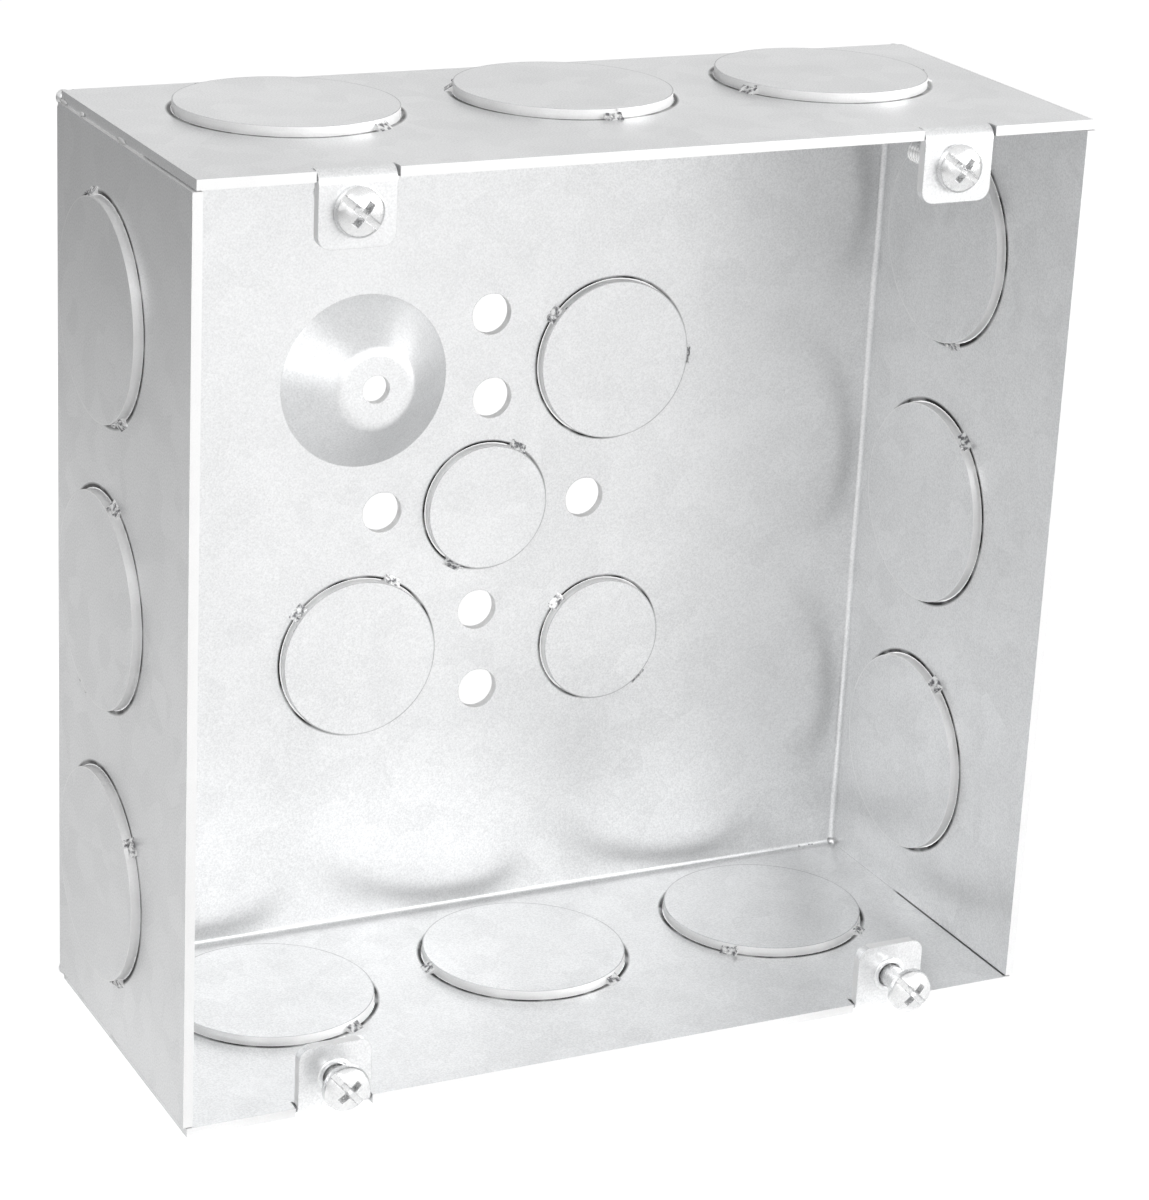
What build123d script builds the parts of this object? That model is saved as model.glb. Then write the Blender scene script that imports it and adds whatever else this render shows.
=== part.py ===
from build123d import *
from math import cos, radians, sin
import os

# Square electrical box of folded and welded galvanised sheet, with its cover screws.
# The opening faces -Y, the outer back lies on Y = 0 and +Z is up, all in millimetres.
os.makedirs("parts", exist_ok=True)

# Box
box_width = 152.4
box_height = 152.4
box_depth = 62.0
sheet = 1.6
bend_radius = 1.0  # inside radius of the folds round the back

# Corner seams: the top and bottom walls lap over the cut edges of the side walls
seam_gap = 0.2
lap_inset = 0.6  # the lapping wall stops short of the side wall's outer face
weld_run = 40.0  # welded length of each seam, measured from the back
weld_bite = 0.3  # how far a weld runs into the sheet on both sides of its seam

# Ears for the cover screws, folded from the front edges of the top and bottom walls
ear_spacing = 101.6
ear_width = 12.4
ear_length = 11.8
ear_bend = 0.4  # inside radius of an ear's fold
ear_corner = 2.2
ear_slit = 0.35  # slit in the rim on each side of an ear
ear_hole_inset = 6.2  # from the wall's outer face to the tapped hole

# Knockouts: discs sheared from the sheet, pushed out of its plane and held by ties
shear_gap = 0.2
knockout_lift = 1.5  # just short of the sheet, so no light shows past a disc
tie_width = 3.0
tie_run = 1.1  # length of the ramp that a tie makes beside the cut
tie_bite = 0.3  # how far a tie's ends run into the sheet and the disc
tie_root = 1.2  # depth of a tie's root below the sheet's face
tie_crown = 0.4  # from the disc's face down to where its tie starts

# Side knockouts, three on each wall
side_knockout_radius = 17.7
side_knockout_pitch = 47.0
side_knockout_inset = 24.4  # from the outer back to their centres

# Back knockouts: one in the middle and one in three of the corners
large_knockout_radius = 14.1
small_knockout_radius = 11.2
corner_reach = 23.0  # from the middle out to the corner features, left and right
upper_rise = 24.2
lower_left_drop = 24.8
lower_right_drop = 27.0

# Raised cone with the tapped hole for a ground screw, in the upper left corner
cone_radius = 14.9
cone_height = 5.2
cone_top_radius = 6.6
cone_shoulder = 3.0  # radius between the slope and the top, on the inside of the box
ground_hole_radius = 2.4

# Mounting holes in the back: a pair on the upright middle line, and four on a circle
mount_hole_radius = 3.55
outer_hole_spacing = 67.6
inner_hole_circle = 38.1
inner_hole_turn = -2.0  # degrees that the four stand off square

# Cover screws, with heads that take a flat or a cross driver
screw_radius = 2.05
screw_length = 12.7
thread_clearance = 0.03
head_radius = 3.9
head_height = 2.5
slot_width = 1.1
cross_span = 4.4
recess_depth = 1.5  # of the slot and of the cross

# Worked out from the sizes above
half_width = box_width / 2
half_height = box_height / 2
bend_outer = bend_radius + sheet
ear_outer = ear_bend + sheet
ear_foot = ear_outer + ear_slit  # depth of the rim that an ear's fold takes up
ear_x = ear_spacing / 2
screw_z = half_height - ear_hole_inset

# Planes of the faces towards which the knockouts are pushed: up, left and forward.
# On a wall's plane, local X runs along the wall and local Y towards the back.
row_y = -side_knockout_inset
top_outside = Plane(origin=(0, row_y, half_height), x_dir=(1, 0, 0), z_dir=(0, 0, 1))
bottom_inside = Plane(origin=(0, row_y, sheet - half_height), x_dir=(1, 0, 0), z_dir=(0, 0, 1))
left_outside = Plane(origin=(-half_width, row_y, 0), x_dir=(0, 0, 1), z_dir=(-1, 0, 0))
right_inside = Plane(origin=(half_width - sheet, row_y, 0), x_dir=(0, 0, 1), z_dir=(-1, 0, 0))
back_inside = Plane(origin=(0, -sheet, 0), x_dir=(1, 0, 0), z_dir=(0, -1, 0))

# Each set of knockouts: plane, radius, centres, and the angles of each one's ties
row = [(-side_knockout_pitch, 0), (0, 0), (side_knockout_pitch, 0)]
large_back = [(corner_reach, upper_rise), (-corner_reach, -lower_left_drop)]
small_back = [(0, 0), (corner_reach, -lower_right_drop)]
knockouts = [
    (top_outside, side_knockout_radius, row, [(-58, 120), (155, -90), (-15, -160)]),
    (bottom_inside, side_knockout_radius, row, [(-61, 110), (180, -57), (-137, -46)]),
    (left_outside, side_knockout_radius, row, [(-54, -152), (-20, 160), (-150, 14)]),
    (right_inside, side_knockout_radius, row, [(-28, 150), (-37, 140), (20, -165)]),
    (back_inside, large_knockout_radius, large_back, [(143, -3), (140, 65)]),
    (back_inside, small_knockout_radius, small_back, [(60, -120), (138, -45)]),
]

# One ear at the upper right, mirrored to the other three places
with BuildPart() as ears:
    with BuildSketch(Plane.YZ.offset(ear_x)) as ear_section:
        with Locations((-box_depth, half_height)):
            Rectangle(ear_foot, sheet, align=(Align.MIN, Align.MAX))
            Rectangle(sheet, ear_length, align=(Align.MIN, Align.MAX))
        fillet(ear_section.vertices().sort_by_distance((-box_depth, half_height))[0], ear_outer)
        inside_corner = (sheet - box_depth, half_height - sheet)
        fillet(ear_section.vertices().sort_by_distance(inside_corner)[0], ear_bend)
    extrude(amount=ear_width / 2, both=True)
    tip_edges = ears.edges().filter_by(Axis.Y).group_by(Axis.Z)[0]
    fillet(tip_edges, ear_corner)
    with Locations(Plane(origin=(ear_x, -box_depth, screw_z), z_dir=(0, -1, 0))):
        Hole(screw_radius + thread_clearance, depth=sheet)
    mirror(about=Plane.YZ)
    mirror(about=Plane.XY)

with BuildPart() as box_body:
    # Flat of the back, between the folds
    with BuildSketch(Plane.XZ):
        Rectangle(box_width - 2 * bend_outer, box_height - 2 * bend_outer)
    extrude(amount=sheet)

    # Folds and walls: top and bottom first, then the sides that stand between them
    for across, reach, plane, wall_span in (
        (box_width, half_height, Plane.YZ, box_width - 2 * lap_inset),
        (box_height, half_width, Plane.YX, box_height - 2 * (sheet + seam_gap)),
    ):
        with BuildSketch(plane):
            with Locations((-bend_outer, reach - bend_outer), (-bend_outer, bend_outer - reach)):
                Circle(bend_outer)
                Circle(bend_radius, mode=Mode.SUBTRACT)
            with Locations((-bend_outer, 0)):
                Rectangle(2 * bend_outer, 2 * (reach - bend_outer), mode=Mode.SUBTRACT)
            with Locations((-2 * bend_outer, 0)):
                Rectangle(2 * bend_outer, 2 * reach, mode=Mode.SUBTRACT)
        extrude(amount=across / 2 - bend_outer, both=True)
        with BuildSketch(plane):
            with Locations((-box_depth, reach)):
                Rectangle(box_depth - bend_outer, sheet, align=(Align.MIN, Align.MAX))
            with Locations((-box_depth, -reach)):
                Rectangle(box_depth - bend_outer, sheet, align=(Align.MIN, Align.MIN))
        extrude(amount=wall_span / 2, both=True)

    # Welds that close the corner seams from the back
    weld_length = weld_run - bend_outer
    weld_width = sheet - lap_inset
    with BuildSketch(Plane.XZ.offset(bend_outer)):
        with GridLocations(
            2 * (half_width - sheet) + weld_width,
            2 * (half_height - sheet) - seam_gap,
            2,
            2,
        ):
            Rectangle(weld_width, seam_gap + 2 * weld_bite)
    extrude(amount=weld_length)

    # Rim cut back where the ears fold, with a slit on each side
    with BuildSketch(Plane.XZ.offset(box_depth)):
        with GridLocations(ear_spacing, box_height - sheet, 2, 2):
            Rectangle(ear_width + 2 * ear_slit, sheet)
    extrude(amount=-ear_foot, mode=Mode.SUBTRACT)
    add(ears.part)

    # Cone pressed up from the back for the ground screw
    cone_foot = cone_radius + sheet
    with BuildSketch(back_inside):
        with Locations((-corner_reach, upper_rise)):
            Circle(cone_foot)
    extrude(amount=-sheet, mode=Mode.SUBTRACT)
    cone_middle = (-corner_reach, -sheet, upper_rise)
    with BuildSketch(Plane(origin=cone_middle, x_dir=(1, 0, 0), z_dir=(0, 0, -1))) as cone_section:
        with BuildLine():
            Polyline((cone_foot, 0), (cone_radius, 0), (cone_top_radius, cone_height), (0, cone_height))
            offset(amount=sheet, side=Side.LEFT, kind=Kind.INTERSECTION)
        make_face()
        shoulder = cone_section.vertices().sort_by_distance((cone_top_radius, cone_height))[0]
        fillet(shoulder, cone_shoulder)
    revolve(axis=Axis(cone_middle, (0, 1, 0)))
    with Locations(Plane(origin=cone_middle, z_dir=(0, -1, 0)).offset(cone_height)):
        Hole(ground_hole_radius, depth=sheet)

    # Mounting holes
    with Locations(back_inside):
        with GridLocations(0, outer_hole_spacing, 1, 2):
            Hole(mount_hole_radius, depth=sheet)
        with PolarLocations(inner_hole_circle / 2, 4, start_angle=inner_hole_turn):
            Hole(mount_hole_radius, depth=sheet)

    # Knockouts, each cut round, pushed out of the sheet and left hanging by its ties
    for face, radius, centres, ties in knockouts:
        with BuildSketch(face):
            with Locations(*centres):
                Circle(radius)
        extrude(amount=-sheet, mode=Mode.SUBTRACT)
        with BuildSketch(face.offset(knockout_lift)):
            with Locations(*centres):
                Circle(radius - shear_gap)
        extrude(amount=-sheet)
        for centre, angles in zip(centres, ties):
            for angle in angles:
                outward = face.x_dir * cos(radians(angle)) + face.y_dir * sin(radians(angle))
                middle = face.from_local_coords((centre[0], centre[1], 0))
                across_cut = Plane(origin=middle, x_dir=outward, z_dir=outward.cross(face.z_dir))
                with BuildSketch(across_cut):
                    with BuildLine():
                        Polyline(
                            (radius - shear_gap - tie_run, knockout_lift - sheet),
                            (radius + tie_bite, -tie_root),
                            (radius + tie_run, 0),
                            (radius - shear_gap - tie_bite, knockout_lift - tie_crown),
                            close=True,
                        )
                    make_face()
                extrude(amount=tie_width / 2, both=True)

box_body.part.label = "box_body"
export_step(box_body.part, "parts/box_body.step")

# Cover screws: side and level of each, how far it is backed out, and its slot's angle
cover_screws = {
    "cover_screw_top_left": (-1, 1, 0.0, -40),
    "cover_screw_top_right": (1, 1, 0.0, -38),
    "cover_screw_bottom_left": (-1, -1, 3.8, -50),
    "cover_screw_bottom_right": (1, -1, 6.0, -45),
}
for name, (side, level, backed_out, slot_turn) in cover_screws.items():
    turn = radians(slot_turn)
    seat = Plane(
        origin=(side * ear_x, -box_depth - backed_out, level * screw_z),
        x_dir=(cos(turn), 0, sin(turn)),
        z_dir=(0, -1, 0),
    )
    with BuildPart() as cover_screw:
        with BuildSketch(Plane(origin=seat.origin, x_dir=seat.x_dir, z_dir=-seat.y_dir)):
            with BuildLine():
                Polyline(
                    (0, -screw_length),
                    (screw_radius, -screw_length),
                    (screw_radius, 0),
                    (head_radius, 0),
                    (head_radius, head_height),
                    (0, head_height),
                    close=True,
                )
            make_face()
        revolve(axis=Axis(seat.origin, seat.z_dir))
        with BuildSketch(seat.offset(head_height)):
            Rectangle(2 * head_radius, slot_width)
            Rectangle(slot_width, cross_span)
        extrude(amount=-recess_depth, mode=Mode.SUBTRACT)
    cover_screw.part.label = name
    export_step(cover_screw.part, f"parts/{name}.step")
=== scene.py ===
import math
import random

import bmesh
import bpy
from mathutils import Matrix, Vector, noise


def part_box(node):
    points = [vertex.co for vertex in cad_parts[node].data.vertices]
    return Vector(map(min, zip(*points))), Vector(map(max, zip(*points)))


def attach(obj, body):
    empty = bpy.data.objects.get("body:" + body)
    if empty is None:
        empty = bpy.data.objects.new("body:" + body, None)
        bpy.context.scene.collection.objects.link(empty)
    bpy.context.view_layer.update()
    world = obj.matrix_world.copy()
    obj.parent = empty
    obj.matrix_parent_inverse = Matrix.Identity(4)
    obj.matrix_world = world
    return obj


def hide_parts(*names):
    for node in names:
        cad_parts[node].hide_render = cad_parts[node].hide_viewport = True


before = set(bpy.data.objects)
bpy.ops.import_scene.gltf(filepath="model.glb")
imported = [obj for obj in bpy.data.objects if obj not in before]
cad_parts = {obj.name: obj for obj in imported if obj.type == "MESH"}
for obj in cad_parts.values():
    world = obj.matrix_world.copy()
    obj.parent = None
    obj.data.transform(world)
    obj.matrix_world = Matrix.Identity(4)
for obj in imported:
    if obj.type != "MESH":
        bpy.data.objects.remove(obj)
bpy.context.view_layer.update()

mm = 0.001

# The box's own measures, as the frame has them
boxLow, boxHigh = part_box("box_body")
sheet = 1.6 * mm
lift = 1.5 * mm                      # how far a knockout's disc stands off its wall
left, bottom = boxLow.x + lift, boxLow.z
right, top = boxHigh.x, boxHigh.z - lift
front, back = boxLow.y, boxHigh.y
bend = 2.6 * mm                      # outside radius of the folds round the back

cameraView = {
    "place": (-251.335 * mm, -529.584 * mm, 199.225 * mm),
    "right": (0.89737, -0.43881, 0.04654),
    "up": (0.11305, 0.33057, 0.93699),
    "lens": 108.285,
}

studio = {
    "room": 1.0,                     # the white room as the camera and metal see it
    "fill": 0.15,                    # share of it that lights matt surfaces
    "floorWhite": (0.88, 0.88, 0.88),
    "floorSize": 6.0,
    "floorGlow": (0.55, 0.10),       # lifts the floor for metal and camera, near the box and far off
    "floorReach": (0.25, 0.60),      # where the near level ends and the far one starts
    "floorLift": 0.78,               # lifts it to the room's white for the camera
    "lampAim": (0, -0.03, 0),
    "lampSize": 0.9,
    "lamps": {                       # place and watts
        "leftLamp": ((-0.90, -1.10, 1.00), 5.8),
        "rightLamp": ((1.40, -0.90, 0.35), 16.5),
        "frontLamp": ((-0.10, -1.50, 0.30), 2.8),
        "lowLamp": ((0.70, -1.50, 0.30), 4.5),
    },
}


# Node helpers

def addNode(tree, kind, settings=None, **sockets):
    node = tree.nodes.new(kind)
    for key, value in (settings or {}).items():
        setattr(node, key, value)
    for key, value in sockets.items():
        setSocket(tree, node, key, value)
    return node


def setSocket(tree, node, key, value):
    socket = node.inputs[int(key[1:])] if key[0] == "n" and key[1:].isdigit() else node.inputs[key]
    if isinstance(value, bpy.types.NodeSocket):
        tree.links.new(value, socket)
    else:
        socket.default_value = value


def maths(tree, operation, first, second=0.0, third=0.0):
    return addNode(tree, "ShaderNodeMath", {"operation": operation}, n0=first, n1=second, n2=third).outputs[0]


def multiply(tree, first, second):
    return maths(tree, "MULTIPLY", first, second)


def vectorMaths(tree, operation, first, second=(0, 0, 0)):
    return addNode(tree, "ShaderNodeVectorMath", {"operation": operation}, n0=first, n1=second).outputs


def noiseField(tree, where, size, detail=2.0, roughness=0.5):
    field = addNode(tree, "ShaderNodeTexNoise", None, Vector=where, Scale=1.0 / size,
                    Detail=detail, Roughness=roughness)
    return field.outputs[0]


def mixColour(tree, amount, first, second):
    node = addNode(tree, "ShaderNodeMix", {"data_type": "RGBA"}, n0=amount)
    setSocket(tree, node, "n6", first)
    setSocket(tree, node, "n7", second)
    return node.outputs[2]


def remap(tree, value, low, high, newLow, newHigh):
    return addNode(tree, "ShaderNodeMapRange", {"clamp": True},
                   n0=value, n1=low, n2=high, n3=newLow, n4=newHigh).outputs[0]


def newMaterial(name):
    material = bpy.data.materials.new(name)
    material.use_nodes = True
    tree = material.node_tree
    tree.nodes.clear()
    output = tree.nodes.new("ShaderNodeOutputMaterial")
    shader = tree.nodes.new("ShaderNodeBsdfPrincipled")
    tree.links.new(shader.outputs[0], output.inputs[0])
    shader.distribution = "GGX"
    setSocket(tree, shader, "Specular IOR Level", 0.0)
    where = tree.nodes.new("ShaderNodeTexCoord").outputs["Object"]
    return material, tree, shader, where


# Where the knockouts and their ties are
knockoutSpec = {
    "wallInset": 24.4 * mm,          # from the outer back to the centres of the wall's knockouts
    "pitch": 47.0 * mm,
    "wallRadius": 17.7 * mm,
    "tieWidth": 3.0 * mm,
    "crumbSize": (0.20 * mm, 0.42 * mm),
    "crumbsAtTie": 3,
    "seed": 11,
    # for each wall: the way its discs stand off, the two directions along it, and each disc's tie angles
    "walls": {
        "top": ((0, 0, 1), (1, 0, 0), (0, 1, 0), [(-58, 120), (155, -90), (-15, -160)]),
        "bottom": ((0, 0, 1), (1, 0, 0), (0, 1, 0), [(-61, 110), (180, -57), (-137, -46)]),
        "left": ((-1, 0, 0), (0, 0, 1), (0, 1, 0), [(-54, -152), (-20, 160), (-150, 14)]),
        "right": ((-1, 0, 0), (0, 0, 1), (0, 1, 0), [(-28, 150), (-37, 140), (20, -165)]),
    },
    # for the back: radius, centre and tie angles
    "back": [
        (14.1 * mm, (23.0 * mm, 24.2 * mm), (143, -3)),
        (14.1 * mm, (-23.0 * mm, -24.8 * mm), (140, 65)),
        (11.2 * mm, (0, 0), (60, -120)),
        (11.2 * mm, (23.0 * mm, -27.0 * mm), (138, -45)),
    ],
}


# Galvanised sheet: zinc with a fine grain, faint spangle and soft cloudy patches, plus painted shade along
# sharp edges, round the knockouts and in the open seams, and painted highlights along the discs' edges
zincLook = {
    "bright": (0.93, 0.935, 0.94, 1),
    "dull": (0.71, 0.715, 0.72, 1),
    "metallic": 0.80,
    "smooth": 0.27,
    "rough": 0.40,
    "grain": 0.30 * mm,
    "spangle": 5.0 * mm,
    "patch": 30.0 * mm,
    "toneShares": (0.72, 0.22, 0.06),    # of grain, patch and spangle
    "grainHeight": 0.010 * mm,
    "softEdge": 0.18 * mm,           # how far an edge's shine is rounded
    # painted shade along sharp edges
    "edgeShadeTone": (0.42, 0.42, 0.43, 1),
    # near-black painted shade, for the slits round the knockouts and the open seams
    "gapShadeTone": (0.03, 0.03, 0.03, 1),
    "gapShadeOnWall": (-0.12 * mm, 0.42 * mm, 0.85 * mm),  # painted shade from the hole's edge outwards, then fading
    "gapShadeOnBack": (-0.12 * mm, 0.24 * mm, 0.55 * mm),
    "rimHighlightLine": (0.34 * mm, 0.18 * mm),    # painted highlight line along each disc's edge: its start and where it is full
    # white of the painted highlight, on disc edges whose faces turn left
    "rimHighlightColour": (1.0, 1.0, 1.0, 1),
    "rimHighlightStrength": 0.85,
    "coneCentre": (-23.0 * mm, 24.2 * mm),
    "coneRadius": (14.5 * mm, 16.4 * mm),
    "coneRough": 0.38,               # the cone was stretched, which dulls it
    "seamShadeWidth": 0.20 * mm,           # painted shade line along the open part of the inside seams
    "seamStart": 24.0 * mm,          # where it starts, from the outer back
    "seamFade": 2.0 * mm,
    "seamShadeStrength": 0.75,
}


def makeZinc():
    material, tree, shader, where = newMaterial("galvanisedSheet")
    look = zincLook
    grain = noiseField(tree, where, look["grain"], 3.0, 0.6)
    patch = noiseField(tree, where, look["patch"], 3.0, 0.5)
    cells = addNode(tree, "ShaderNodeTexVoronoi", {"feature": "F1"},
                    Vector=where, Scale=1.0 / look["spangle"])
    spangle = addNode(tree, "ShaderNodeSeparateColor", None, Color=cells.outputs["Color"]).outputs[0]
    ofGrain, ofPatch, ofSpangle = look["toneShares"]
    tone = maths(tree, "ADD", multiply(tree, grain, ofGrain), multiply(tree, patch, ofPatch))
    tone = maths(tree, "ADD", tone, multiply(tree, spangle, ofSpangle))
    colour = mixColour(tree, remap(tree, tone, 0.34, 0.66, 0.0, 1.0), look["dull"], look["bright"])
    softened = addNode(tree, "ShaderNodeBevel", {"samples": 2}, Radius=look["softEdge"])
    # painted shade along sharp edges
    colour = mixColour(tree, edgeShadeShare(tree, softened), colour, look["edgeShadeTone"])
    gapShade, rimHighlight = gapShadeAndRimHighlight(tree, where)
    # disc edges facing left get a painted highlight, the others the painted edge shade
    facesLeft = maths(tree, "LESS_THAN", flatNormal(tree)[0], -0.5)
    rimLitOrShadedTone = mixColour(tree, facesLeft, look["edgeShadeTone"], look["rimHighlightColour"])
    colour = mixColour(tree, multiply(tree, rimHighlight, look["rimHighlightStrength"]), colour, rimLitOrShadedTone)
    # painted shade along the open inner seams
    seam = multiply(tree, seamShadeShare(tree, where), look["seamShadeStrength"])
    # painted shade, near black, in the slits round the knockouts and along the open inner seams
    paintedShade = maths(tree, "MAXIMUM", gapShade, seam)
    colour = mixColour(tree, paintedShade, colour, look["gapShadeTone"])
    setSocket(tree, shader, "Base Color", colour)
    rough = remap(tree, tone, 0.30, 0.70, look["rough"], look["smooth"])
    onCone = multiply(tree, coneShare(tree, where), look["coneRough"])
    setSocket(tree, shader, "Roughness", maths(tree, "MAXIMUM", rough, onCone))
    setSocket(tree, shader, "Metallic", look["metallic"])
    bump = addNode(tree, "ShaderNodeBump", None, Strength=0.6, Distance=look["grainHeight"],
                   Height=grain, Normal=softened.outputs[0])
    setSocket(tree, shader, "Normal", bump.outputs[0])
    return material


def gapShadeAndRimHighlight(tree, where):
    # two shares: painted shade in the narrow slit round each knockout, and a painted highlight line along its
    # disc's edge
    spec = knockoutSpec
    place = addNode(tree, "ShaderNodeSeparateXYZ", None, n0=where).outputs
    facing = flatNormal(tree)
    onSide = maths(tree, "GREATER_THAN", maths(tree, "ABSOLUTE", facing[0]), 0.5)
    onBack = maths(tree, "GREATER_THAN", maths(tree, "ABSOLUTE", facing[1]), 0.5)
    along = remap(tree, onSide, 0.0, 1.0, place[0], place[2])
    ends = 1.5 * spec["pitch"]
    along = maths(tree, "MINIMUM", maths(tree, "MAXIMUM", along, -ends), ends)
    along = maths(tree, "WRAP", along, spec["pitch"] / 2, -spec["pitch"] / 2)
    inward = maths(tree, "ADD", place[1], spec["wallInset"])
    wallGapShade, wallRimHighlight = shadeAndHighlightRing(tree, along, inward, spec["wallRadius"], zincLook["gapShadeOnWall"])
    backGapShade, backRimHighlight = 0.0, 0.0
    for radius, (x, z), _ in spec["back"]:
        across, up = maths(tree, "SUBTRACT", place[0], x), maths(tree, "SUBTRACT", place[2], z)
        ring, rimHighlight = shadeAndHighlightRing(tree, across, up, radius, zincLook["gapShadeOnBack"])
        backGapShade, backRimHighlight = maths(tree, "MAXIMUM", ring, backGapShade), maths(tree, "MAXIMUM", rimHighlight, backRimHighlight)
    uneven = remap(tree, noiseField(tree, where, 5 * mm, 2.0, 0.5), 0.38, 0.55, 0.65, 1.0)
    gapShade = multiply(tree, remap(tree, onBack, 0.0, 1.0, wallGapShade, backGapShade), uneven)
    return gapShade, multiply(tree, remap(tree, onBack, 0.0, 1.0, wallRimHighlight, backRimHighlight), uneven)


def shadeAndHighlightRing(tree, across, up, radius, width):
    # painted shade just outside the disc's edge, and a painted highlight band just inside it
    inside, dark, faded = width
    squared = maths(tree, "ADD", multiply(tree, across, across), multiply(tree, up, up))
    away = maths(tree, "SQRT", squared)
    outside = maths(tree, "SUBTRACT", away, radius)
    beyond = maths(tree, "GREATER_THAN", outside, inside)
    gapShade = multiply(tree, remap(tree, outside, dark, faded, 1.0, 0.0), beyond)
    starts, full = zincLook["rimHighlightLine"]
    rimHighlight = remap(tree, outside, inside - starts, inside - full, 0.0, 1.0)
    return gapShade, multiply(tree, rimHighlight, maths(tree, "SUBTRACT", 1.0, beyond))


def coneShare(tree, where):
    # 1 on the pressed cone, 0 away from it
    x, z = zincLook["coneCentre"]
    fromAxis = vectorMaths(tree, "SUBTRACT", where, (x, 0, z))[0]
    flattened = vectorMaths(tree, "MULTIPLY", fromAxis, (1, 0, 1))[0]
    away = vectorMaths(tree, "LENGTH", flattened)["Value"]
    return remap(tree, away, *zincLook["coneRadius"], 1.0, 0.0)


def seamShadeShare(tree, where):
    # painted shade: 1 right in the inner corners of the walls, in front of the welds
    place = addNode(tree, "ShaderNodeSeparateXYZ", None, n0=where).outputs
    facing = flatNormal(tree)
    fromSide = maths(tree, "SUBTRACT", right - sheet, maths(tree, "ABSOLUTE", place[0]))
    fromTop = maths(tree, "SUBTRACT", top - sheet, maths(tree, "ABSOLUTE", place[2]))
    onSide = maths(tree, "GREATER_THAN", maths(tree, "ABSOLUTE", facing[0]), 0.5)
    away = maths(tree, "ABSOLUTE", remap(tree, onSide, 0.0, 1.0, fromSide, fromTop))
    behind = remap(tree, onSide, 0.0, 1.0, fromTop, fromSide)
    near = multiply(tree, maths(tree, "LESS_THAN", away, zincLook["seamShadeWidth"]),
                    maths(tree, "GREATER_THAN", behind, -sheet / 2))
    start = back - zincLook["seamStart"]
    opened = remap(tree, place[1], start - zincLook["seamFade"], start, 1.0, 0.0)
    behindEars = maths(tree, "GREATER_THAN", place[1], front + 0.5 * mm)
    return multiply(tree, multiply(tree, near, opened), behindEars)


def flatNormal(tree):
    normal = tree.nodes.new("ShaderNodeNewGeometry").outputs["True Normal"]
    return addNode(tree, "ShaderNodeSeparateXYZ", None, n0=normal).outputs


def edgeShadeShare(tree, softened):
    # share of painted edge shade: 0 on the flat, 1 right at a sharp edge, from how far the softened normal
    # leans away
    flat = tree.nodes.new("ShaderNodeNewGeometry").outputs["True Normal"]
    lean = vectorMaths(tree, "DOT_PRODUCT", softened.outputs[0], flat)["Value"]
    return remap(tree, lean, 0.80, 0.97, 1.0, 0.0)


# Sheared edges, burnished at the punch side and torn and duller towards the other: here bright and duller
# streaks and blotches mixed at random
edgeLook = {
    "bright": (1.0, 1.0, 1.0, 1),
    "dull": (0.92, 0.92, 0.92, 1),
    "metallic": 0.25,
    "smooth": 0.30,
    "rough": 0.48,
    "streak": 0.25 * mm,
}


def makeCutEdge():
    material, tree, shader, where = newMaterial("shearedEdge")
    look = edgeLook
    streak = noiseField(tree, where, look["streak"], 3.0, 0.6)
    blotch = noiseField(tree, where, 4 * mm, 2.0, 0.5)
    tone = maths(tree, "ADD", multiply(tree, streak, 0.6), multiply(tree, blotch, 0.4))
    colour = mixColour(tree, remap(tree, tone, 0.35, 0.65, 0.0, 1.0), look["dull"], look["bright"])
    setSocket(tree, shader, "Base Color", colour)
    setSocket(tree, shader, "Roughness", remap(tree, tone, 0.35, 0.65, look["rough"], look["smooth"]))
    setSocket(tree, shader, "Metallic", look["metallic"])
    bump = addNode(tree, "ShaderNodeBump", None, Strength=0.5, Distance=0.02 * mm, Height=streak)
    setSocket(tree, shader, "Normal", bump.outputs[0])
    return material


# Torn metal of the ties: stretched and rough, with painted shade in its cracks
tornLook = {
    "bright": (0.93, 0.93, 0.93, 1),
    # painted shade for the cracks
    "dull": (0.20, 0.20, 0.21, 1),
    "metallic": 0.60,
    "rough": 0.50,
    "crack": 0.75 * mm,
    "depth": 0.12 * mm,
}


def makeTornMetal():
    material, tree, shader, where = newMaterial("tornTie")
    look = tornLook
    crack = noiseField(tree, where, look["crack"], 3.0, 0.6)
    whole = remap(tree, crack, 0.40, 0.58, 0.0, 1.0)
    # cracks get the painted shade colour
    setSocket(tree, shader, "Base Color", mixColour(tree, whole, look["dull"], look["bright"]))
    setSocket(tree, shader, "Roughness", look["rough"])
    setSocket(tree, shader, "Metallic", look["metallic"])
    bump = addNode(tree, "ShaderNodeBump", None, Strength=0.9, Distance=look["depth"], Height=crack)
    setSocket(tree, shader, "Normal", bump.outputs[0])
    return material


skinFace, cutFace, tornFace = 0, 1, 2

# How the finish of each face of the box is told
faceRules = {
    "near": 0.06 * mm,               # how close to a plane counts as on it
    "straight": 0.98,                # how square to an axis counts as facing it
    "wallZone": 4 * mm,              # depth of the zones beside the walls
    "coneZone": 16.6 * mm,           # round the cone's axis, and how far it reaches into the box
    "coneReach": 9 * mm,
    "coneHole": 2.6 * mm,
    "earX": 50.8 * mm,               # middle of each ear, and how far it reaches sideways and back
    "earHalf": 7.0 * mm,
    "earDepth": 3.2 * mm,
    "flat": 0.999,                   # how square to an axis a face beside a fold is taken as flat
    "ramp": 0.05,                    # how far a face leans before it counts as a tie's ramp
}


def skinPlanes(axis):
    # planes of the sheet's skin along one axis: of the walls, and of the discs that stand off them
    if axis == "x":
        skins = [left, left + sheet, right, right - sheet]
        return skins + [left - lift, left - lift + sheet, right - sheet - lift, right - lift]
    if axis == "y":
        return [back, back - sheet, back - sheet - lift, back - lift, front, front + sheet]
    skins = [top, top - sheet, bottom, bottom + sheet]
    return skins + [top + lift, top + lift - sheet, bottom + sheet + lift, bottom + lift]


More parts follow.
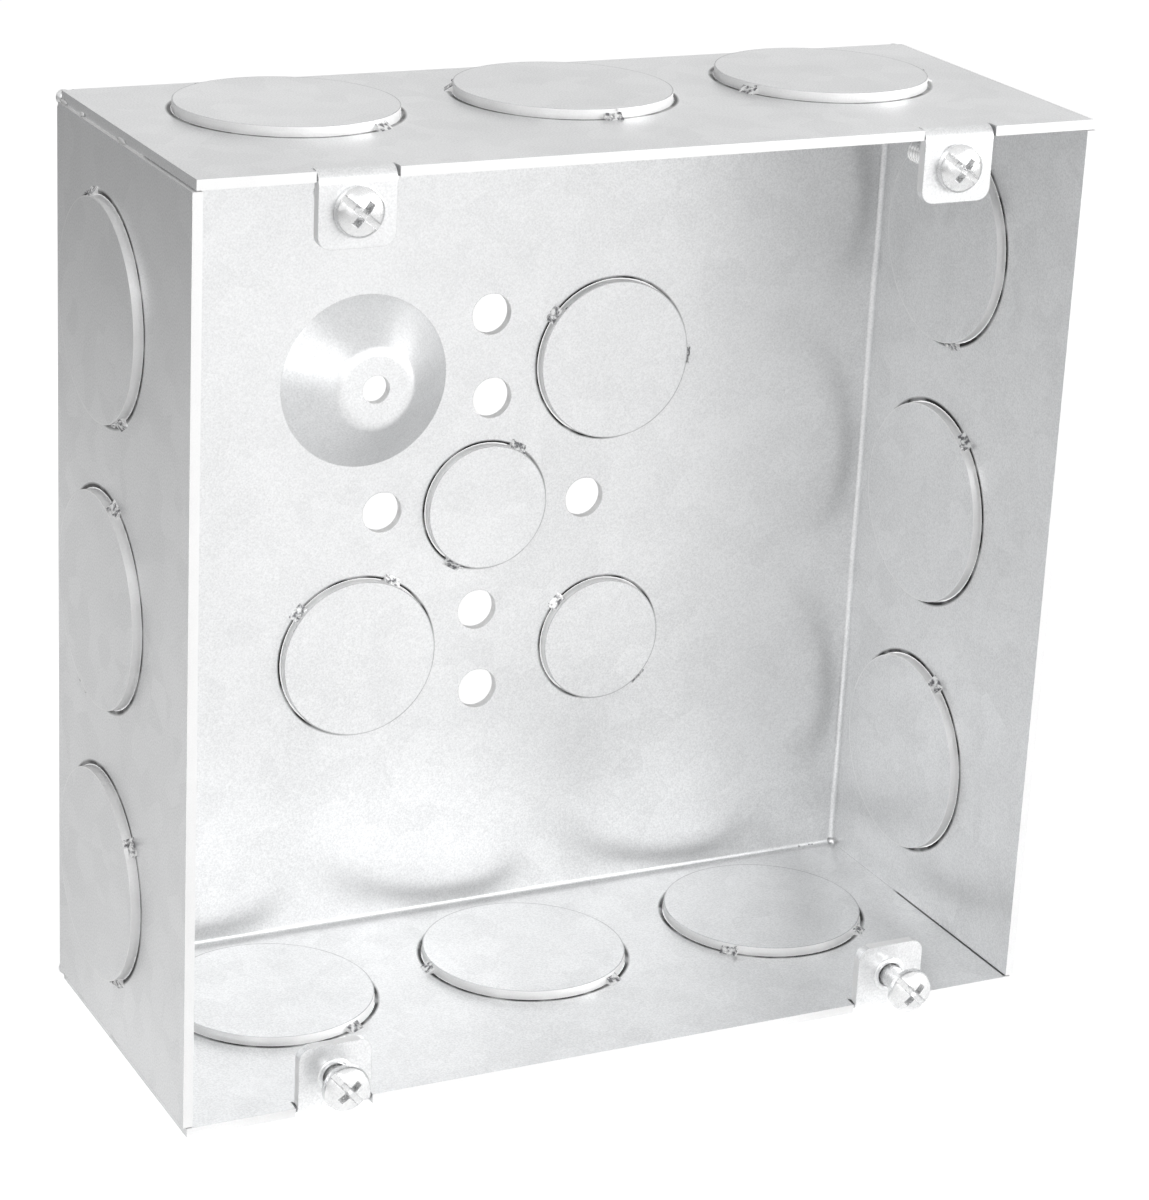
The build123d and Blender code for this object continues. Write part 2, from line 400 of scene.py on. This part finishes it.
def faceKind(centre, normal):
    # the sheet's own skin, a sheared edge, or the torn ramp of a tie
    rules = faceRules
    n = Vector((abs(normal.x), abs(normal.y), abs(normal.z)))
    near, zone = rules["near"], rules["wallZone"]
    nearFold = abs(centre.x) > right - zone or abs(centre.z) > top - zone
    if nearFold and centre.y > back - bend - near and max(n) < rules["flat"]:
        return skinFace
    coneX, coneZ = zincLook["coneCentre"]
    fromCone = math.hypot(centre.x - coneX, centre.z - coneZ)
    if fromCone < rules["coneZone"] and centre.y > back - rules["coneReach"]:
        return cutFace if fromCone < rules["coneHole"] and n.y < 0.5 else skinFace
    if n.x > rules["straight"] and top - sheet - near < abs(centre.z) < top + near:
        return skinFace              # side edges of the top and bottom walls
    for axis in "xyz":
        if getattr(n, axis) > rules["straight"]:
            if axis == "y" and abs(centre.y - front) < near:
                onEar = abs(abs(centre.x) - rules["earX"]) < rules["earHalf"]
                return skinFace if onEar else cutFace
            onPlane = any(abs(getattr(centre, axis) - plane) < near for plane in skinPlanes(axis))
            return skinFace if onPlane else cutFace
    # what is left leans: the round edges of holes and discs are sheared, the ramps of the ties are torn
    if centre.y < front + rules["earDepth"]:
        return skinFace
    wallAxis = n.z if abs(centre.z) > top - zone else n.x if abs(centre.x) > right - zone else n.y
    return cutFace if wallAxis < rules["ramp"] else tornFace


zinc = makeZinc()
cutEdge = makeCutEdge()
tornMetal = makeTornMetal()
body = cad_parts["box_body"]
body.data.materials.clear()
body.data.materials.append(zinc)
body.data.materials.append(cutEdge)
body.data.materials.append(tornMetal)
for polygon in body.data.polygons:
    polygon.material_index = faceKind(polygon.center, polygon.normal)
print("box body finished:", len(body.data.polygons), "faces")


# Cover screws: domed heads with a slot and a cross recess, plain under the head and threaded to the tip
screwSpec = {
    "headRadius": 3.88 * mm,
    "rimHeight": 0.75 * mm,          # straight part of the head's edge
    "underFillet": 0.25 * mm,
    "shankRadius": 1.95 * mm,
    "plainLength": 5.9 * mm,
    "threadRadius": 2.05 * mm,
    "rootRadius": 1.64 * mm,
    "pitch": 0.794 * mm,
    "tipRadius": 1.50 * mm,
    "slotWidth": 1.1 * mm,
    "slotDepth": 1.45 * mm,
    "crossSpan": 4.7 * mm,
    "crossWidth": 1.15 * mm,
    "crossDepth": 1.95 * mm,
    "slotTaper": 0.92,               # width at a recess's floor, as a share of its width at the top
    "wingTaper": (0.36, 0.62),       # the same for a cross wing's length and width
    "sharpFrom": 32,                 # degrees at which an edge of the screw stays sharp
    "segments": 64,
    "slotTurns": {                   # degrees, seen from the front
        "cover_screw_top_left": -40,
        "cover_screw_top_right": -38,
        "cover_screw_bottom_left": -50,
        "cover_screw_bottom_right": -45,
    },
}

screwLook = {
    "bright": (0.90, 0.90, 0.90, 1),
    "dull": (0.74, 0.745, 0.75, 1),
    "metallic": 0.90,
    "smooth": 0.16,
    "rough": 0.34,
    "softEdge": 0.14 * mm,
    # painted shade along the screw's sharp edges
    "edgeShadeTone": (0.30, 0.30, 0.31, 1),
}


def makeScrewZinc():
    material, tree, shader, where = newMaterial("platedScrew")
    look = screwLook
    fine = noiseField(tree, where, 0.4 * mm, 3.0, 0.6)
    broad = noiseField(tree, where, 2.2 * mm, 2.0, 0.5)
    tone = maths(tree, "ADD", multiply(tree, fine, 0.4), multiply(tree, broad, 0.6))
    softened = addNode(tree, "ShaderNodeBevel", {"samples": 4}, Radius=look["softEdge"])
    colour = mixColour(tree, remap(tree, tone, 0.35, 0.65, 0.0, 1.0), look["dull"], look["bright"])
    # painted shade along the slot, recess and head edges
    colour = mixColour(tree, edgeShadeShare(tree, softened), colour, look["edgeShadeTone"])
    setSocket(tree, shader, "Base Color", colour)
    setSocket(tree, shader, "Roughness", remap(tree, tone, 0.35, 0.65, look["rough"], look["smooth"]))
    setSocket(tree, shader, "Metallic", look["metallic"])
    bump = addNode(tree, "ShaderNodeBump", None, Strength=0.4, Distance=0.012 * mm,
                   Height=fine, Normal=softened.outputs[0])
    setSocket(tree, shader, "Normal", bump.outputs[0])
    return material


def screwOutline(height):
    # radius and level of each ring, from the crown of the head to where the thread starts
    spec = screwSpec
    rings = []
    for step in range(1, 13):
        around = math.radians(90 * step / 12)
        level = spec["rimHeight"] + (height - spec["rimHeight"]) * math.cos(around) ** 0.9
        rings.append((spec["headRadius"] * math.sin(around), level))
    rings.append((spec["headRadius"], 0.12 * mm))
    rings.append((spec["headRadius"] - 0.12 * mm, 0.0))
    for step in range(5):
        around = math.radians(90 * step / 4)
        rings.append((spec["shankRadius"] + spec["underFillet"] * (1 - math.sin(around)),
                      -spec["underFillet"] * (1 - math.cos(around))))
    rings.append((spec["shankRadius"], -spec["plainLength"]))
    return rings


def threadRadiusAt(row, depth, length):
    spec = screwSpec
    crest, root = spec["threadRadius"], spec["rootRadius"]
    share = (0, 0, 0.33, 0.67, 1, 1, 0.67, 0.33)[row % 8]
    ramp = min(1.0, depth / spec["pitch"])
    radius = spec["shankRadius"] + ramp * (crest + (root - crest) * share - spec["shankRadius"])
    return min(radius, spec["tipRadius"] + (length - depth) * 0.9)


def screwBlank(height, length):
    # one closed skin: crown, head, plain shank and a helical thread whose crest runs along the mesh
    spec = screwSpec
    count = spec["segments"]
    skin = bmesh.new()
    angles = [2 * math.pi * i / count for i in range(count)]
    crown = skin.verts.new((0, 0, height))
    rings = [[skin.verts.new((r * math.cos(a), r * math.sin(a), z)) for a in angles]
             for r, z in screwOutline(height)]
    for i in range(count):
        skin.faces.new((crown, rings[0][i], rings[0][(i + 1) % count]))
        for upper, lower in zip(rings, rings[1:]):
            skin.faces.new((upper[i], lower[i], lower[(i + 1) % count], upper[(i + 1) % count]))
    start = -spec["plainLength"]
    threaded = length - spec["plainLength"]
    rows = int(8 * threaded / spec["pitch"]) + 12
    columns = []
    for i, a in enumerate(angles):
        column = []
        for row in range(rows):
            depth = min(max((row / 8 + i / count - 1) * spec["pitch"], 0.0), threaded)
            radius = threadRadiusAt(row, depth, threaded)
            column.append(skin.verts.new((radius * math.cos(a), radius * math.sin(a), start - depth)))
        columns.append(column)
    for i in range(count):
        here, there = columns[i], columns[(i + 1) % count]
        shift = 8 if i == count - 1 else 0
        for row in range(rows - 1 - shift):
            skin.faces.new((here[row], here[row + 1], there[row + 1 + shift], there[row + shift]))
    tip = skin.verts.new((0, 0, start - threaded))
    for i in range(count):
        skin.faces.new((columns[i][-1], tip, columns[(i + 1) % count][-1]))
    bmesh.ops.remove_doubles(skin, verts=skin.verts, dist=0.0005 * mm)
    bmesh.ops.dissolve_degenerate(skin, edges=skin.edges, dist=0.0005 * mm)
    bmesh.ops.recalc_face_normals(skin, faces=skin.faces)
    return skin


def taperedBlock(topLength, topWidth, footLength, footWidth, top, foot):
    block = bmesh.new()
    corners = [(1, 1), (-1, 1), (-1, -1), (1, -1)]
    upper = [block.verts.new((x * topLength / 2, y * topWidth / 2, top)) for x, y in corners]
    lower = [block.verts.new((x * footLength / 2, y * footWidth / 2, foot)) for x, y in corners]
    block.faces.new(upper)
    block.faces.new(lower[::-1])
    for i in range(4):
        block.faces.new((upper[i], lower[i], lower[(i + 1) % 4], upper[(i + 1) % 4]))
    bmesh.ops.recalc_face_normals(block, faces=block.faces)
    return block


def meshObject(name, built):
    mesh = bpy.data.meshes.new(name)
    built.to_mesh(mesh)
    built.free()
    piece = bpy.data.objects.new(name, mesh)
    bpy.context.scene.collection.objects.link(piece)
    return piece


def cutAway(piece, cutters):
    # takes each cutter out of the piece, then leaves only the finished mesh
    for cutter in cutters:
        step = piece.modifiers.new("cut", "BOOLEAN")
        step.operation, step.solver, step.object = "DIFFERENCE", "EXACT", cutter
    finished = bpy.data.meshes.new_from_object(piece.evaluated_get(bpy.context.evaluated_depsgraph_get()))
    piece.modifiers.clear()
    piece.data = finished
    for cutter in cutters:
        bpy.data.objects.remove(cutter)


def makeScrewMesh(height, length):
    spec = screwSpec
    blank = meshObject("screwBlank", screwBlank(height, length))
    above = 0.5 * mm
    wide = 2.5 * spec["headRadius"]
    slot = taperedBlock(wide, spec["slotWidth"], wide, spec["slotWidth"] * spec["slotTaper"],
                        height + above, height - spec["slotDepth"])
    span, width = spec["crossSpan"], spec["crossWidth"]
    floorLevel = height - spec["crossDepth"]
    byLength, byWidth = spec["wingTaper"]
    crown = height + 0.02 * mm
    wings = [taperedBlock(span, width, span * byLength, width * byWidth, crown, floorLevel),
             taperedBlock(width, span, width * byWidth, span * byLength, crown, floorLevel)]
    cutAway(blank, [meshObject("screwCutter", block) for block in [slot, *wings]])
    mesh = blank.data
    bpy.data.objects.remove(blank)
    mesh.polygons.foreach_set("use_smooth", [True] * len(mesh.polygons))
    mesh.set_sharp_from_angle(angle=math.radians(spec["sharpFrom"]))
    return mesh


def placeScrews():
    # every screw sits on the line of its own node, with its crown level with the node's
    low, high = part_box("cover_screw_top_left")
    headTop = front - low.y
    length = high.y - low.y - headTop
    pattern = makeScrewMesh(headTop, length)
    pattern.materials.clear()
    pattern.materials.append(makeScrewZinc())
    for name, turn in screwSpec["slotTurns"].items():
        low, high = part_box(name)
        seat = Vector(((low.x + high.x) / 2, low.y + headTop, (low.z + high.z) / 2))
        facing = Matrix.Rotation(math.radians(90), 4, "X") @ Matrix.Rotation(math.radians(turn), 4, "Z")
        mesh = pattern.copy()
        mesh.transform(Matrix.Translation(seat) @ facing)
        screw = bpy.data.objects.new(name + "_detail", mesh)
        bpy.context.scene.collection.objects.link(screw)
        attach(screw, "root")
        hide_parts(name)
    print("cover screws finished:", len(pattern.polygons), "faces each")


placeScrews()


# Pulled lips round the tapped holes of the ears whose screws stand out
lipSpec = {
    "bore": 2.12 * mm,
    "height": 0.30 * mm,
    "width": 0.95 * mm,
    "segments": 48,
}


def makeEarLip(name, screwName):
    spec = lipSpec
    low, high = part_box(screwName)
    centreX, centreZ = (low.x + high.x) / 2, (low.z + high.z) / 2
    ring = bmesh.new()
    outline = [(0, -0.05 * mm)]
    for step in range(9):
        around = math.pi * step / 8
        out = spec["width"] * (1 - math.cos(around)) / 2 * (0.55 + 0.45 * step / 8)
        outline.append((out, spec["height"] * math.sin(around) ** 0.8))
    outline.append((spec["width"], -0.05 * mm))
    count = spec["segments"]
    turns = [2 * math.pi * i / count for i in range(count)]
    rows = []
    for out, up in outline:
        radius = spec["bore"] + out
        rows.append([ring.verts.new((centreX + radius * math.cos(turn), front - up,
                                     centreZ + radius * math.sin(turn))) for turn in turns])
    for row, after in zip(rows, rows[1:] + rows[:1]):
        for i in range(count):
            ring.faces.new((row[i], row[(i + 1) % count], after[(i + 1) % count], after[i]))
    bmesh.ops.remove_doubles(ring, verts=ring.verts, dist=0.001 * mm)
    bmesh.ops.recalc_face_normals(ring, faces=ring.faces)
    lip = meshObject(name, ring)
    lip.data.polygons.foreach_set("use_smooth", [True] * len(lip.data.polygons))
    lip.data.materials.append(zinc)
    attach(lip, "root")


makeEarLip("ear_lip_left", "cover_screw_bottom_left")
makeEarLip("ear_lip_right", "cover_screw_bottom_right")
print("ear lips finished")


# Torn crumbs at the ties, where each knockout's disc still hangs on its wall
crumbSpec = {
    "broad": (1.9, 0.38),            # how closely set the big bumps are, and how high
    "fine": (4.3, 0.16),
    "margin": 0.02 * mm,             # kept inside the box's own measures
}


def knockoutTies():
    # centre of each disc on its wall's face, the face's normal, the tie's direction and the disc's radius
    spec = knockoutSpec
    middle = -spec["wallInset"]
    origins = {
        "top": Vector((0, middle, top)),
        "bottom": Vector((0, middle, bottom + sheet)),
        "left": Vector((left, middle, 0)),
        "right": Vector((right - sheet, middle, 0)),
    }
    for wall, (normal, along, across, angles) in spec["walls"].items():
        for step, pair in zip((-1, 0, 1), angles):
            centre = origins[wall] + Vector(along) * step * spec["pitch"]
            for angle in pair:
                turn = math.radians(angle)
                outward = Vector(along) * math.cos(turn) + Vector(across) * math.sin(turn)
                yield centre, Vector(normal), outward, spec["wallRadius"]
    for radius, (x, z), pair in spec["back"]:
        for angle in pair:
            turn = math.radians(angle)
            outward = Vector((math.cos(turn), 0, math.sin(turn)))
            yield Vector((x, back - sheet, z)), Vector((0, -1, 0)), outward, radius


def addCrumb(lump, place, size, seed, squash=(1.0, 1.0, 1.0)):
    # a rough little lump: a fine ball with its points pushed in and out by noise
    (broad, broadHeight), (fine, fineHeight) = crumbSpec["broad"], crumbSpec["fine"]
    ball = bmesh.ops.create_icosphere(lump, subdivisions=2, radius=1.0)["verts"]
    offset = Vector((seed * 1.7, seed * 0.9, seed * 2.3))
    for vert in ball:
        rough = 1.0 + broadHeight * noise.noise(vert.co * broad + offset)
        rough += fineHeight * noise.noise(vert.co * fine + offset)
        shaped = Vector((vert.co.x * squash[0], vert.co.y * squash[1], vert.co.z * squash[2])) * rough
        vert.co = place + shaped * size


def keepInside(lump):
    # nothing torn stands out past the box's own measures
    margin = crumbSpec["margin"]
    for vert in lump.verts:
        vert.co = Vector([min(max(value, low + margin), high - margin)
                          for value, low, high in zip(vert.co, boxLow, boxHigh)])


def makeTieCrumbs():
    spec = knockoutSpec
    rng = random.Random(spec["seed"])
    lump = bmesh.new()
    for number, (centre, normal, outward, radius) in enumerate(knockoutTies()):
        sideways = normal.cross(outward)
        for step in range(spec["crumbsAtTie"]):
            across = rng.uniform(-0.5, 0.5) * spec["tieWidth"]
            out = radius + rng.uniform(-0.25, 0.35) * mm
            level = rng.choice((lift - 0.25 * mm, 0.15 * mm, 0.55 * lift))
            size = rng.uniform(*spec["crumbSize"])
            reach = math.sqrt(max(out * out - across * across, 0.0))
            place = centre + outward * reach + sideways * across + normal * level
            addCrumb(lump, place, size, number * 7 + step, (1.0, 1.0, 0.7))
    keepInside(lump)
    crumbs = meshObject("tie_crumbs", lump)
    crumbs.data.materials.append(tornMetal)
    crumbs.data.polygons.foreach_set("use_smooth", [True] * len(crumbs.data.polygons))
    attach(crumbs, "root")
    print("tie crumbs finished:", len(crumbs.data.polygons), "faces")


# Weld beads in the step of each corner seam, from the back to the middle of the wall
weldSpec = {
    "beads": [(-5.0, 1.7), (-13.5, 0.9), (-30.0, 1.9)],    # place along the seam and half length, mm
    "inFromSide": 0.33 * mm,
    "inFromTop": 1.42 * mm,
    "radius": 0.24 * mm,
    "seed": 5,
}


def makeWeldBeads():
    spec = weldSpec
    rng = random.Random(spec["seed"])
    lump = bmesh.new()
    for sideX in (left + spec["inFromSide"], right - spec["inFromSide"]):
        for sideZ in (bottom + spec["inFromTop"], top - spec["inFromTop"]):
            for place, half in spec["beads"]:
                y = (place + rng.uniform(-1.2, 1.2)) * mm
                squash = (0.8, half * mm / spec["radius"], 1.5)
                addCrumb(lump, Vector((sideX, y, sideZ)), spec["radius"], rng.randint(1, 90), squash)
    beads = meshObject("seam_weld_beads", lump)
    beads.data.materials.append(cutEdge)
    beads.data.polygons.foreach_set("use_smooth", [True] * len(beads.data.polygons))
    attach(beads, "root")
    print("weld beads finished:", len(beads.data.polygons), "faces")


# Weld metal in the four back corners, and a torn burr beside one of them on the lower fold
cornerSpec = {
    "inset": 1.35 * mm,
    "radius": 1.22 * mm,
    "waves": (0.9 * mm, 0.10 * mm),  # spacing and height of the weld's uneven surface
    # place along the fold and size, mm
    "burr": [(66.2, 0.28), (67.4, 0.40), (68.8, 0.30), (69.9, 0.44), (71.3, 0.26)],
    "burrInset": 1.75 * mm,
}


def makeCornerWelds():
    spec = cornerSpec
    lump = bmesh.new()
    inset = spec["inset"]
    for sideX, sideZ in [(left, bottom), (left, top), (right, bottom), (right, top)]:
        x, z = sideX - math.copysign(inset, sideX), sideZ - math.copysign(inset, sideZ)
        place = Vector((x, back - inset, z))
        bmesh.ops.create_uvsphere(lump, u_segments=24, v_segments=14, radius=spec["radius"],
                                  matrix=Matrix.Translation(place))
    spacing, height = spec["waves"]
    for vert in lump.verts:
        vert.co += Vector((1, 1, 1)) * noise.noise(vert.co / spacing) * height
    welds = meshObject("corner_welds", lump)
    welds.data.materials.append(zinc)
    burr = bmesh.new()
    inset = spec["burrInset"]
    for number, (place, size) in enumerate(spec["burr"]):
        where = Vector((place * mm, back - inset, bottom + inset))
        addCrumb(burr, where, size * mm, 40 + number, (1.4, 0.8, 0.8))
    torn = meshObject("fold_burr", burr)
    torn.data.materials.append(tornMetal)
    for piece in (welds, torn):
        piece.data.polygons.foreach_set("use_smooth", [True] * len(piece.data.polygons))
        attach(piece, "root")
    print("corner welds and burr finished")


makeTieCrumbs()
makeWeldBeads()
makeCornerWelds()


# Camera, floor and lamps

def placeCamera():
    data = bpy.data.cameras.new("photoCamera")
    data.lens = cameraView["lens"]
    data.sensor_width = 36.0
    data.clip_start, data.clip_end = 0.01, 50.0
    camera = bpy.data.objects.new("photoCamera", data)
    sideways, upwards = Vector(cameraView["right"]), Vector(cameraView["up"])
    backwards = sideways.cross(upwards)
    turn = Matrix((sideways, upwards, backwards)).transposed()
    camera.matrix_world = Matrix.Translation(Vector(cameraView["place"])) @ turn.to_4x4()
    bpy.context.scene.collection.objects.link(camera)
    bpy.context.scene.camera = camera


def seenDirectly(tree):
    # 1 where the camera, a mirror reflection or a ray through glass looks, else 0
    path = tree.nodes.new("ShaderNodeLightPath")
    mirrored = maths(tree, "MAXIMUM", path.outputs["Is Glossy Ray"], path.outputs["Is Transmission Ray"])
    return maths(tree, "MAXIMUM", path.outputs["Is Camera Ray"], mirrored)


def makeFloor():
    size = studio["floorSize"]
    mesh = bpy.data.meshes.new("studioFloor")
    z = bottom - 0.02 * mm
    corners = [(-size, -size, z), (size, -size, z), (size, size, z), (-size, size, z)]
    mesh.from_pydata(corners, [], [(0, 1, 2, 3)])
    floor = bpy.data.objects.new("studioFloor", mesh)
    bpy.context.scene.collection.objects.link(floor)
    material, tree, shader, where = newMaterial("floorPaper")
    white = studio["floorWhite"]
    setSocket(tree, shader, "Base Color", (*white, 1))
    setSocket(tree, shader, "Roughness", 0.9)
    setSocket(tree, shader, "Emission Color", (1, 1, 1, 1))
    away = vectorMaths(tree, "LENGTH", where)["Value"]
    glow = remap(tree, away, *studio["floorReach"], *studio["floorGlow"])
    path = tree.nodes.new("ShaderNodeLightPath")
    lifted = multiply(tree, path.outputs["Is Camera Ray"], studio["floorLift"])
    glowing = multiply(tree, seenDirectly(tree), glow)
    setSocket(tree, shader, "Emission Strength", maths(tree, "MAXIMUM", glowing, lifted))
    mesh.materials.append(material)
    return floor


def lightWorld():
    world = bpy.data.worlds.new("studioWorld")
    bpy.context.scene.world = world
    world.use_nodes = True
    tree = world.node_tree
    tree.nodes.clear()
    output = tree.nodes.new("ShaderNodeOutputWorld")
    strength = remap(tree, seenDirectly(tree), 0.0, 1.0, studio["fill"] * studio["room"], studio["room"])
    light = addNode(tree, "ShaderNodeBackground", None, Color=(1, 1, 1, 1), Strength=strength)
    tree.links.new(light.outputs[0], output.inputs[0])


def hangLamps():
    for name, (place, watts) in studio["lamps"].items():
        data = bpy.data.lights.new(name, "AREA")
        data.shape, data.size, data.energy = "DISK", studio["lampSize"], watts
        lamp = bpy.data.objects.new(name, data)
        lamp.location = place
        lamp.rotation_euler = (Vector(studio["lampAim"]) - Vector(place)).to_track_quat("-Z", "Y").to_euler()
        bpy.context.scene.collection.objects.link(lamp)


placeCamera()
makeFloor()
lightWorld()
hangLamps()
bpy.context.scene.view_settings.view_transform = "Standard"
print("camera, floor and lamps placed")
